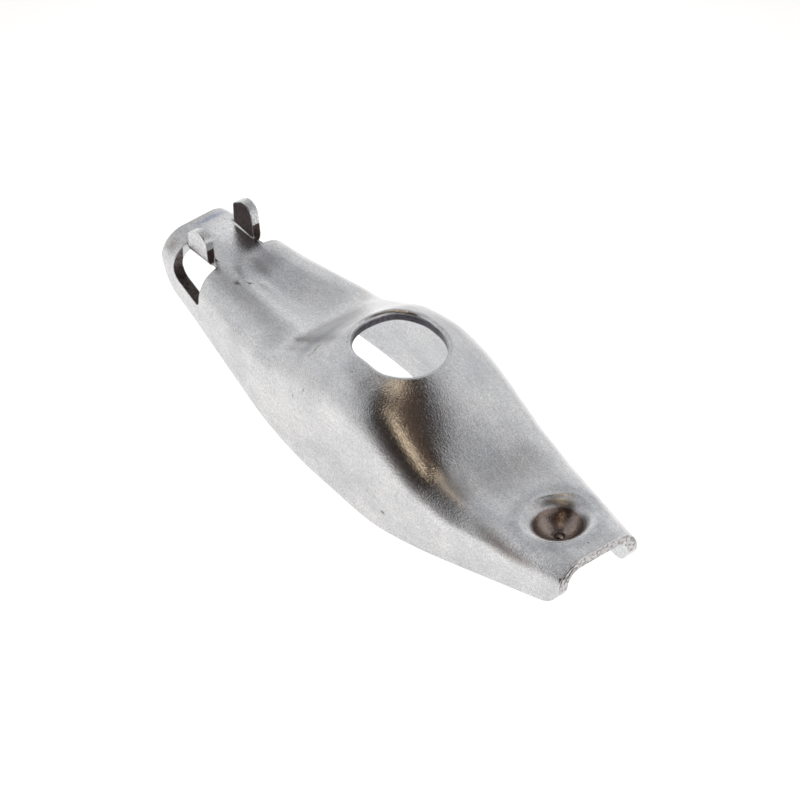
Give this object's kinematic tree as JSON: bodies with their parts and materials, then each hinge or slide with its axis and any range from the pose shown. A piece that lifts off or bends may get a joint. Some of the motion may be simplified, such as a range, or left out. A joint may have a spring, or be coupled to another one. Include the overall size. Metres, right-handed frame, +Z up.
{
  "type": "rocker arm",
  "caption": "Pressed steel rocker arm: an open channel with a raised ball seat pierced by an oblong stud slot, a push rod cup at one end and a valve pad between guide tabs at the other.",
  "frame": {"origin": "middle of the stud slot at the height of the top of the hump", "axes": "+X along the arm toward the push rod cup, +Y across the arm, +Z up out of the hump with the arm lying belly up on the edges of its walls"},
  "size_m": [0.087, 0.0238, 0.0201],
  "materials": {
    "bare_steel": "bare pressed steel, tumbled to a satin sheen"
  },
  "bodies": {
    "root": {"rocker_arm": "bare_steel"}
  },
  "joints": []
}
